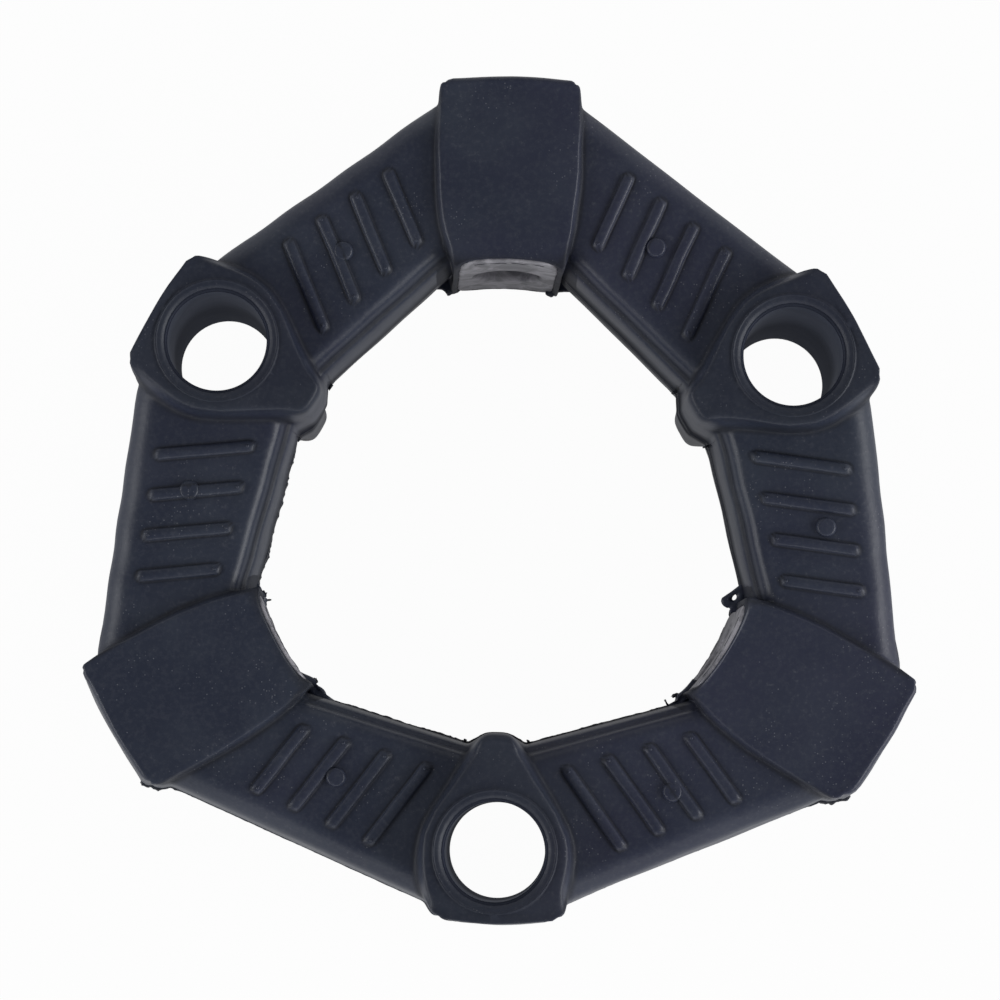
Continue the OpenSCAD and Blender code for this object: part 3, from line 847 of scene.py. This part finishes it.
flash = {
    # the fins' rubber keeps this share of its colour; the rest is painted shade, for fins that look dark
    "litShare": 0.35, "step": 0.45, "coarse": 5.0, "fine": 0.7,
    # over the direction from the shaft axis in degrees: how far the fin stands out of the parting line
    "innerWidth": ([0, 158, 163, 200, 215, 250, 255, 270, 287, 291, 325, 340, 360],
                   [0.12, 0.12, 1.0, 1.0, 0.5, 0.5, 0.7, 0.3, 0.6, 0.4, 0.35, 0.12, 0.12]),
    "outerWidth": ([0, 205, 214, 217.5, 219.5, 222, 270, 318, 320.5, 322.5, 326, 335, 360],
                   [0.05, 0.05, 0.1, 0.9, 0.9, 0.2, 0.15, 0.2, 1.1, 0.9, 0.2, 0.05, 0.05]),
    "section": [(-0.7, 0.55), (0.3, 0.24), (1, 0.05), (1, -0.05), (0.3, -0.3), (-0.7, -0.6)],
    # shares of a fin's width: the least, and what a slow and a quick random height add; then its thickness:
    # the least, what a random height adds and that height's step
    "sway": (0.25, 0.5, 0.5), "thickness": (0.6, 0.8, 2.0), "lumpSpread": 0.22, "lumpGrid": (9, 15),
    # ragged lumps by a block: its direction, place in its frame, radii and turn of the lump
    "lumps": [(210, (60.9, -12.9, 0.2), (0.7, 0.22, 0.22), 20),
              (210, (60.9, -11.4, -0.2), (0.8, 0.25, 0.25), 160),
              (210, (60.0, 12.1, 0.2), (0.7, 0.4, 0.4), 100), (330, (59.8, -14.4, 0), (0.8, 0.45, 0.4), 60),
              (330, (59.4, -17.2, 0.1), (1.1, 0.2, 0.2), 150)],
    # lips of rubber beside a block's seat: its direction, outline, height, half thickness and, for the tab,
    # the middle and the radii of its hole
    "lips": [(90, [(66.5, 19.5), (62.1, 18.3), (62.2, 16.3), (61.7, 15.4), (60.4, 14.6), (61.0, 13.5),
                   (62.2, 11.6), (64.5, 12.4)], -20, 0.9),
             (90, [(66.5, -19.5), (62.3, -17.8), (62.3, -15.7), (62.1, -14.1), (61.5, -13.1), (60.5, -12.3),
                   (61.2, -10.6), (63.0, -10.4), (64.8, -12.5)], -20, 0.9),
             (210, [(64.5, 8.0), (62.3, 8.4), (61.8, 9.2), (60.6, 10.7), (59.7, 12.1), (60.4, 12.6),
                    (60.1, 13.6), (59.3, 14.8), (59.1, 15.8), (59.3, 16.6), (58.9, 17.7), (57.9, 19.4),
                    (60.0, 21.0), (63.5, 17.5)], 0, 2.2),
             (210, [(60.3, -19.2), (60.2, -17.6), (61.0, -16.4), (60.8, -15.6), (60.8, -14.7), (61.0, -13.6),
                    (60.7, -13.0), (61.2, -12.4), (60.7, -11.4), (61.7, -11.0), (62.2, -9.2), (64.5, -9.0),
                    (64.5, -15.0), (63.0, -19.0)], 0, 1.6),
             (330, [(64.5, -8.0), (61.4, -8.6), (61.1, -10.8), (60.6, -12.8), (60.0, -14.1), (60.2, -15.0),
                    (60.9, -15.5), (60.7, -16.4), (60.2, -17.2), (60.0, -18.2), (58.8, -19.4), (60.5, -21.0),
                    (63.2, -18.0)], 0, 2.2),
             (330, [(59.6, 18.4), (58.5, 15.6), (57.2, 12.7), (57.3, 11.9), (58.2, 11.2), (59.5, 11.1),
                    (60.2, 11.6), (60.9, 10.4), (63.2, 12.6), (61.8, 17.6)], 0.2, 0.55,
              (59.75, 14.35, 0.5, 0.8))],
    "lipPoints": 41,
    # over a lip's width, from its middle out and back: share of the way out and of its half thickness
    "lipSection": [(0.0, 0.8), (0.35, 1.0), (0.8, 0.8), (1.0, 0.25), (1.0, -0.25), (0.8, -0.8), (0.35, -1.0),
                   (0.0, -0.8)],
}


# Random heights, at even steps of the given length, with straight lines between them
def ragged(lengths, step, random):
    count = int(lengths[-1] / step) + 2
    return np.interp(lengths, np.arange(count) * step, random.random(count))


# The thin fin that the mould left along its parting line: one section swept along the line
def fin(line, outwards, turn, widths, random):
    whole = np.concatenate([mirrored(line[:0:-1], 1), line])
    length = np.linalg.norm(np.diff(whole, axis=0), axis=1).sum()
    count = int(length / flash["step"])
    path = alongLine(whole, np.linspace(0, 1, count))
    facing = outwards * rightOf(path[:, :2])
    direction = (np.degrees(np.arctan2(path[:, 1], path[:, 0])) + turn) % 360
    lengths = np.linspace(0, length, count)
    least, slow, quick = flash["sway"]
    width = np.interp(direction, *widths) * (least + slow * ragged(lengths, flash["coarse"], random)
                                             + quick * ragged(lengths, flash["fine"], random) ** 2)
    section = np.array(flash["section"] + flash["section"][:1])
    reach = np.where(section[:, 0] < 0, section[:, 0], section[:, 0] * width[:, None])
    thin, more, step = flash["thickness"]
    points = np.zeros((count, len(section), 3))
    points[..., :2] = path[:, None, :2] + facing[:, None, :] * reach[..., None]
    points[..., 2] = section[:, 1] * (thin + more * ragged(lengths, step, random)[:, None])
    points[0], points[-1] = points[0].mean(axis=0), points[-1].mean(axis=0)
    return turned(points, turn), gridFaces(count, len(section))


# A ball of uneven radius, stretched along its three axes and turned in its block's frame
def lump(blockTurn, place, radii, turn, random):
    rows, columns = flash["lumpGrid"]
    tilt, angle = np.meshgrid(np.linspace(0, np.pi, rows), np.linspace(0, 2 * np.pi, columns), indexing="ij")
    size = 1 + flash["lumpSpread"] * random.normal(size=tilt.shape)
    size[:, -1] = size[:, 0]
    size[0], size[-1] = 1, 1
    points = np.stack([np.cos(tilt), np.sin(tilt) * np.cos(angle), np.sin(tilt) * np.sin(angle)], axis=-1)
    points = turned(points * size[..., None] * radii, turn) + place
    points[:, -1] = points[:, 0]
    points[0], points[-1] = points[0, 0], points[-1, 0]
    return turned(points, blockTurn), gridFaces(rows, columns)


# A plate with an uneven thick edge between its outline and a hole, or a point in its middle
def plate(blockTurn, outline, height, thickness, hole=None):
    count = flash["lipPoints"]
    outer = alongLine(outline + outline[:1], np.linspace(0, 1, count))
    if hole:
        x, y, across, along = hole
        angle = np.arctan2(outer[:, 1] - y, outer[:, 0] - x)
        inner = np.column_stack([x + across * np.cos(angle), y + along * np.sin(angle)])
    else:
        inner = np.mean(outline, axis=0)
    rows = [np.column_stack([inner + share * (outer - inner), np.full(count, height + level * thickness)])
            for share, level in flash["lipSection"]]
    if hole:
        rows.append(rows[0])
    points = np.stack(rows)
    points[:, -1] = points[:, 0]
    return turned(points, blockTurn), gridFaces(len(rows), count)


def flashParts():
    random = np.random.default_rng(23)
    parts = []
    for turn in bossTurns:
        parts.append(fin(seams[0], -1, turn, flash["innerWidth"], random))
        parts.append(fin(seams[1], 1, turn, flash["outerWidth"], random))
    return parts + [lump(*each, random) for each in flash["lumps"]]


partingFlash = meshObject("partingFlash", wornAll(flashParts()), weldStep=0.0005)
rubberLips = meshObject("rubberLips", wornAll([plate(*each) for each in flash["lips"]]), weldStep=0.0005)
for thing in (partingFlash, rubberLips):
    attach(thing, "root")
    print(thing.name, len(thing.data.polygons))


# A socket that takes part in Python arithmetic: each operator adds one Math node
class Wire:
    def __init__(self, paint, socket):
        self.paint = paint
        self.socket = socket

    def __add__(self, other):
        return self.paint.maths("ADD", self, other)

    def __sub__(self, other):
        return self.paint.maths("SUBTRACT", self, other)

    def __rsub__(self, other):
        return self.paint.maths("SUBTRACT", other, self)

    def __mul__(self, other):
        return self.paint.maths("MULTIPLY", self, other)

    __radd__ = __add__
    __rmul__ = __mul__


# The nodes of one material or world
class Paint:
    def __init__(self, owner):
        self.owner = owner
        owner.use_nodes = True
        self.tree = owner.node_tree
        self.tree.nodes.clear()

    # Adds a node: its settings first, then the values or links of its sockets
    def node(self, kind, sockets=None, output=0, **settings):
        made = self.tree.nodes.new("ShaderNode" + kind)
        for key, value in settings.items():
            setattr(made, key, value)
        for key, value in (sockets or {}).items():
            if isinstance(key, int):
                socket = made.inputs[key]
            else:
                socket = next(s for s in made.inputs if s.name == key and s.enabled)
            if isinstance(value, Wire):
                self.tree.links.new(value.socket, socket)
            else:
                socket.default_value = value
        if not made.outputs:
            return None
        if isinstance(output, str):
            return Wire(self, made.outputs[output])
        return Wire(self, [s for s in made.outputs if s.enabled][output])

    def maths(self, operation, *values):
        return self.node("Math", dict(enumerate(values)), operation=operation)

    def clamp(self, value):
        return self.node("Math", {0: value, 1: 0.0}, operation="ADD", use_clamp=True)

    # Rises from 0 to 1 as the value goes from low to high, softly at both ends
    def step(self, value, low, high):
        return self.node("MapRange", {"Value": value, "From Min": low, "From Max": high},
                         interpolation_type="SMOOTHSTEP")

    def noise(self, place, scale, detail=3.0, rough=0.5, distortion=0.0):
        return self.node("TexNoise", {"Vector": place, "Scale": scale, "Detail": detail,
                                      "Roughness": rough, "Distortion": distortion}, "Fac")

    def mix(self, factor, a, b):
        return self.node("Mix", {"Factor": factor, "A": a, "B": b}, data_type="RGBA")

    # A normal bent by a height in metres
    def bump(self, height):
        return self.node("Bump", {"Strength": 1.0, "Distance": 1.0, "Height": height})

    # Ends the tree with its output node and gives the material or world it belongs to
    def finish(self, surface, kind="Material"):
        self.node("Output" + kind, {"Surface": surface})
        return self.owner


def colour(red, green, blue):
    return (red, green, blue, 1)


# Light specks: 1 near the point of a Voronoi cell, in the share of cells whose random colour is high
def specks(paint, place, scale, size, share):
    cell = {"Vector": place, "Scale": scale, "Randomness": 1.0}
    near = paint.node("TexVoronoi", cell, "Distance", feature="F1")
    tint = paint.node("TexVoronoi", cell, "Color", feature="F1")
    chance = paint.node("SeparateXYZ", {"Vector": tint})
    return (1 - paint.step(near, size * 0.5, size)) * paint.step(chance, 1 - share, 1 - share + 0.01)


# A new material's paint, and the place on the piece that its patterns read
def newMaterial(name):
    paint = Paint(bpy.data.materials.new(name))
    return paint, paint.node("TexCoord", output="Object")


# In each look: colours, then scale, detail, roughness and distortion of the noises by their names
rubberLook = {
    "dark": colour(0.029, 0.037, 0.066), "pale": colour(0.045, 0.056, 0.086),
    "violet": colour(0.047, 0.045, 0.094), "dust": colour(0.2, 0.21, 0.25),
    # shadeColour is painted shade: the colour mixed in where shade falls and on the fins
    "shadeColour": colour(0.005, 0.006, 0.01), "grey": colour(0.07, 0.078, 0.108),
    "clouds": (38, 4, 0.6, 0.4), "broad": (13, 3, 0.5, 0.2), "fine": (900, 3, 0.6), "middle": (210, 3, 0.6),
    "heaps": (70, 2, 0.5),
    # cells per metre, size of a speck in its cell and share of the cells that have one
    "smallSpecks": (1500, 0.3, 0.2), "bigSpecks": (640, 0.14, 0.015),
    # values of a noise between which a colour comes in, and the most of it
    "paleRange": (0.34, 0.68), "violetRange": (0.46, 0.72), "violetMost": 0.4, "greyRange": (0.4, 0.75),
    "greyMost": 0.45, "dustRange": (0.56, 0.8), "dustClouds": (0.95, 1.25), "dustMost": 0.3,
    "heapRange": (0.5, 0.62), "moteMost": 0.8, "shadeMix": (0.5, 0.5),
    # roughness: the least, and what clouds, the middle noise, dust and the painted shade's mask add
    "roughness": (0.26, 0.12, 0.08, 0.25, 0.3), "specular": 0.45,
    "grain": 0.00005, "waves": 0.0003,  # heights in metres that bend the normal
}


def rubberMaterial(title, litShare):
    look = rubberLook
    paint, place = newMaterial(title)
    names = ("clouds", "broad", "fine", "middle")
    clouds, broad, fine, middle = (paint.noise(place, *look[name]) for name in names)
    shade = paint.mix(paint.step(clouds, *look["paleRange"]), look["dark"], look["pale"])
    shade = paint.mix(paint.step(broad, *look["violetRange"]) * look["violetMost"], shade, look["violet"])
    shade = paint.mix(paint.step(fine, *look["greyRange"]) * look["greyMost"], shade, look["grey"])
    dusty = paint.step(fine, *look["dustRange"]) * paint.step(clouds + middle, *look["dustClouds"])
    dusty = dusty * look["dustMost"]
    heaps = paint.step(paint.noise(place, *look["heaps"]), *look["heapRange"])
    motes = specks(paint, place, *look["smallSpecks"]) * heaps + specks(paint, place, *look["bigSpecks"])
    shade = paint.mix(paint.clamp(dusty + motes * look["moteMost"]), shade, look["dust"])
    # Painted shade: the mesh's mask darkens the colour in the creases, along the feet, on the ledges and by
    # the seats
    paintedShade = paint.node("Attribute", output="Fac", attribute_name="paintedShade")
    least, more = look["shadeMix"]
    shade = paint.mix(paint.clamp(paintedShade * (least + more * middle)), shade, look["shadeColour"])
    height = fine * look["grain"] + broad * look["waves"] + middle * (look["grain"] * 2)
    smooth, cloudy, uneven, powdery, inShade = look["roughness"]
    # Below 1, the share mixes painted shade into the colour, for a shaded copy of the rubber
    return paint.finish(paint.node("BsdfPrincipled", {
        "Base Color": paint.mix(litShare, look["shadeColour"], shade),
        "Roughness": smooth + cloudy * clouds + uneven * middle + powdery * dusty + inShade * paintedShade,
        "Specular IOR Level": look["specular"], "Normal": paint.bump(height)}))


sleeveLook = {
    "base": colour(0.08, 0.095, 0.14), "worn": colour(0.11, 0.125, 0.17), "edge": colour(0.76, 0.82, 1.0),
    "sleeveShade": colour(0.03, 0.034, 0.05), "clouds": (90, 3, 0.55, 0.3), "fine": (1100, 3, 0.6),
    # squared heights in metres over which painted shade comes in at the mouth, and heights over which the
    # painted shade down the bore clears
    "mouth": (0.0266 ** 2, 0.0273 ** 2), "depth": (-0.006, 0.02), "mouthMost": 0.9, "depthMost": 0.62,
    # values of the clouds between which it looks worn; roughness and what clouds add to it; heights in metres
    "wornRange": (0.4, 0.7), "metallic": 0.7, "roughness": (0.3, 0.16), "specular": 0.25,
    "fineHeight": 0.00003, "cloudHeight": 0.0002,
}


def sleeveMaterial():
    look = sleeveLook
    paint, place = newMaterial("sleevePaint")
    clouds, fine = paint.noise(place, *look["clouds"]), paint.noise(place, *look["fine"])
    least, more = look["roughness"]
    clean = paint.node("BsdfPrincipled", {
        "Base Color": paint.mix(paint.step(clouds, *look["wornRange"]), look["base"], look["worn"]),
        "Metallic": look["metallic"], "Roughness": least + more * clouds,
        "Specular IOR Level": look["specular"], "Specular Tint": look["edge"],
        "Normal": paint.bump(fine * look["fineHeight"] + clouds * look["cloudHeight"])})
    # Painted shade: a dark matt copy mixed in down the bore and at the mouth
    shaded = paint.node("BsdfDiffuse", {"Color": look["sleeveShade"]})
    z = paint.node("SeparateXYZ", {"Vector": place}, "Z")
    inShade = paint.clamp((1 - paint.step(z, *look["depth"])) * look["depthMost"]
                        + paint.step(z * z, *look["mouth"]) * look["mouthMost"])
    return paint.finish(paint.node("MixShader", {"Fac": inShade, 1: clean, 2: shaded}))


metalLook = {
    "clean": colour(0.56, 0.55, 0.6), "dull": colour(0.25, 0.25, 0.28), "stain": colour(0.05, 0.055, 0.07),
    "patches": (130, 5, 0.65, 0.8), "broad": (45, 3, 0.5, 0.5), "fine": (800, 3, 0.6),
    # values of the noises between which it turns clean or stained; the patches' share in the stains' noise
    "cleanRange": (0.38, 0.64), "stainRange": (0.84, 0.96), "patchShare": 0.5, "stainMost": 0.8,
    "metallic": 0.4, "roughness": (0.42, 0.22), "fineHeight": 0.00005, "patchHeight": 0.0004,
}


def metalMaterial():
    look = metalLook
    paint, place = newMaterial("insertMetal")
    patches, broad, fine = (paint.noise(place, *look[key]) for key in ("patches", "broad", "fine"))
    shade = paint.mix(paint.step(patches, *look["cleanRange"]), look["dull"], look["clean"])
    stained = paint.step(broad + look["patchShare"] * patches, *look["stainRange"])
    least, more = look["roughness"]
    return paint.finish(paint.node("BsdfPrincipled", {
        "Base Color": paint.mix(stained * look["stainMost"], shade, look["stain"]),
        "Metallic": look["metallic"] - look["metallic"] * stained, "Roughness": least + more * patches,
        "Normal": paint.bump(fine * look["fineHeight"] + patches * look["patchHeight"])}))


def dress(names, material):
    for name in names:
        materials = bpy.data.objects[name].data.materials
        materials.clear()
        materials.append(material)


dress(["rubberBody", "rubberLips"], rubberMaterial("rubber", 1.0))
# The fins get a shaded copy of the rubber: painted shade
dress(["partingFlash"], rubberMaterial("flashRubberShaded", flash["litShare"]))
dress(["axialSleeve1", "axialSleeve2", "axialSleeve3"], sleeveMaterial())
dress(["radialInsert1", "radialInsert2", "radialInsert3"], metalMaterial())
print("materials")


cameraPlace = {
    "place": (0.00070189, -0.08169, 0.99708), "turns": (5.02465633, -0.03495653, 1.19958358),
    "focalPixels": 3965.2, "imagePixels": 1000, "sensor": 36, "clip": (0.05, 20),
}
cameraData = bpy.data.cameras.new("camera")
cameraData.sensor_width = cameraPlace["sensor"]
cameraData.lens = cameraPlace["focalPixels"] / cameraPlace["imagePixels"] * cameraPlace["sensor"]
cameraData.clip_start, cameraData.clip_end = cameraPlace["clip"]
camera = bpy.data.objects.new("camera", cameraData)
camera.location = cameraPlace["place"]
camera.rotation_mode = "XYZ"
camera.rotation_euler = [math.radians(a) for a in cameraPlace["turns"]]
bpy.context.scene.collection.objects.link(camera)
bpy.context.scene.camera = camera

studio = {
    # place, size and power of each lamp
    "lamps": {"frontLight": ((0.0, -1.35, 0.4), (1.2, 0.45), 2),
              "leftLight": ((-1.3, -0.25, 0.5), (1.3, 0.6), 5.5),
              "rightLight": ((1.3, -0.25, 0.5), (1.3, 0.6), 9.5)},
    "zenith": 0.17, "horizon": 0.62, "zenithFrom": 0.75, "floorHeight": -0.02915, "floorHalf": 3,
    "floorColour": colour(0.9, 0.9, 0.9), "floorWhite": 0.97, "floorShine": 0.24,
}


def areaLight(name, place, size, power):
    data = bpy.data.lights.new(name, "AREA")
    data.energy = power
    data.shape = "RECTANGLE"
    data.size, data.size_y = size
    lamp = bpy.data.objects.new(name, data)
    lamp.location = place
    lamp.rotation_euler = Vector([-c for c in place]).to_track_quat("-Z", "Y").to_euler()
    bpy.context.scene.collection.objects.link(lamp)


for name, (place, size, power) in studio["lamps"].items():
    areaLight(name, place, size, power)

# The sky is paler towards the horizon, and white to the camera itself
world = bpy.data.worlds.new("studio")
bpy.context.scene.world = world
paint = Paint(world)
upwards = paint.node("SeparateXYZ", {"Vector": paint.node("TexCoord", output="Generated")}, "Z")
rise = paint.step(upwards, 0.0, studio["zenithFrom"])
level = studio["horizon"] + (studio["zenith"] - studio["horizon"]) * rise
seen = paint.node("LightPath", output="Is Camera Ray")
backdrop = paint.node("Background", {"Color": colour(1, 1, 1), "Strength": level + seen * (1 - level)})
paint.finish(backdrop, "World")

floorMesh = bpy.data.meshes.new("floor")
half, z = studio["floorHalf"], studio["floorHeight"]
floorMesh.from_pydata([(-half, -half, z), (half, -half, z), (half, half, z), (-half, half, z)], [],
                      [(0, 1, 2, 3)])
floor = bpy.data.objects.new("floor", floorMesh)
bpy.context.scene.collection.objects.link(floor)
paint = Paint(bpy.data.materials.new("floorWhite"))
direct = (paint.node("LightPath", output="Is Camera Ray") * studio["floorWhite"]
          + paint.node("LightPath", output="Is Glossy Ray") * studio["floorShine"])
matt = paint.node("BsdfDiffuse", {"Color": studio["floorColour"]})
glow = paint.node("Emission", {"Color": colour(1, 1, 1), "Strength": 1.0})
floorMesh.materials.append(paint.finish(paint.node("MixShader", {"Fac": direct, 1: matt, 2: glow})))

bpy.context.scene.view_settings.view_transform = "Standard"
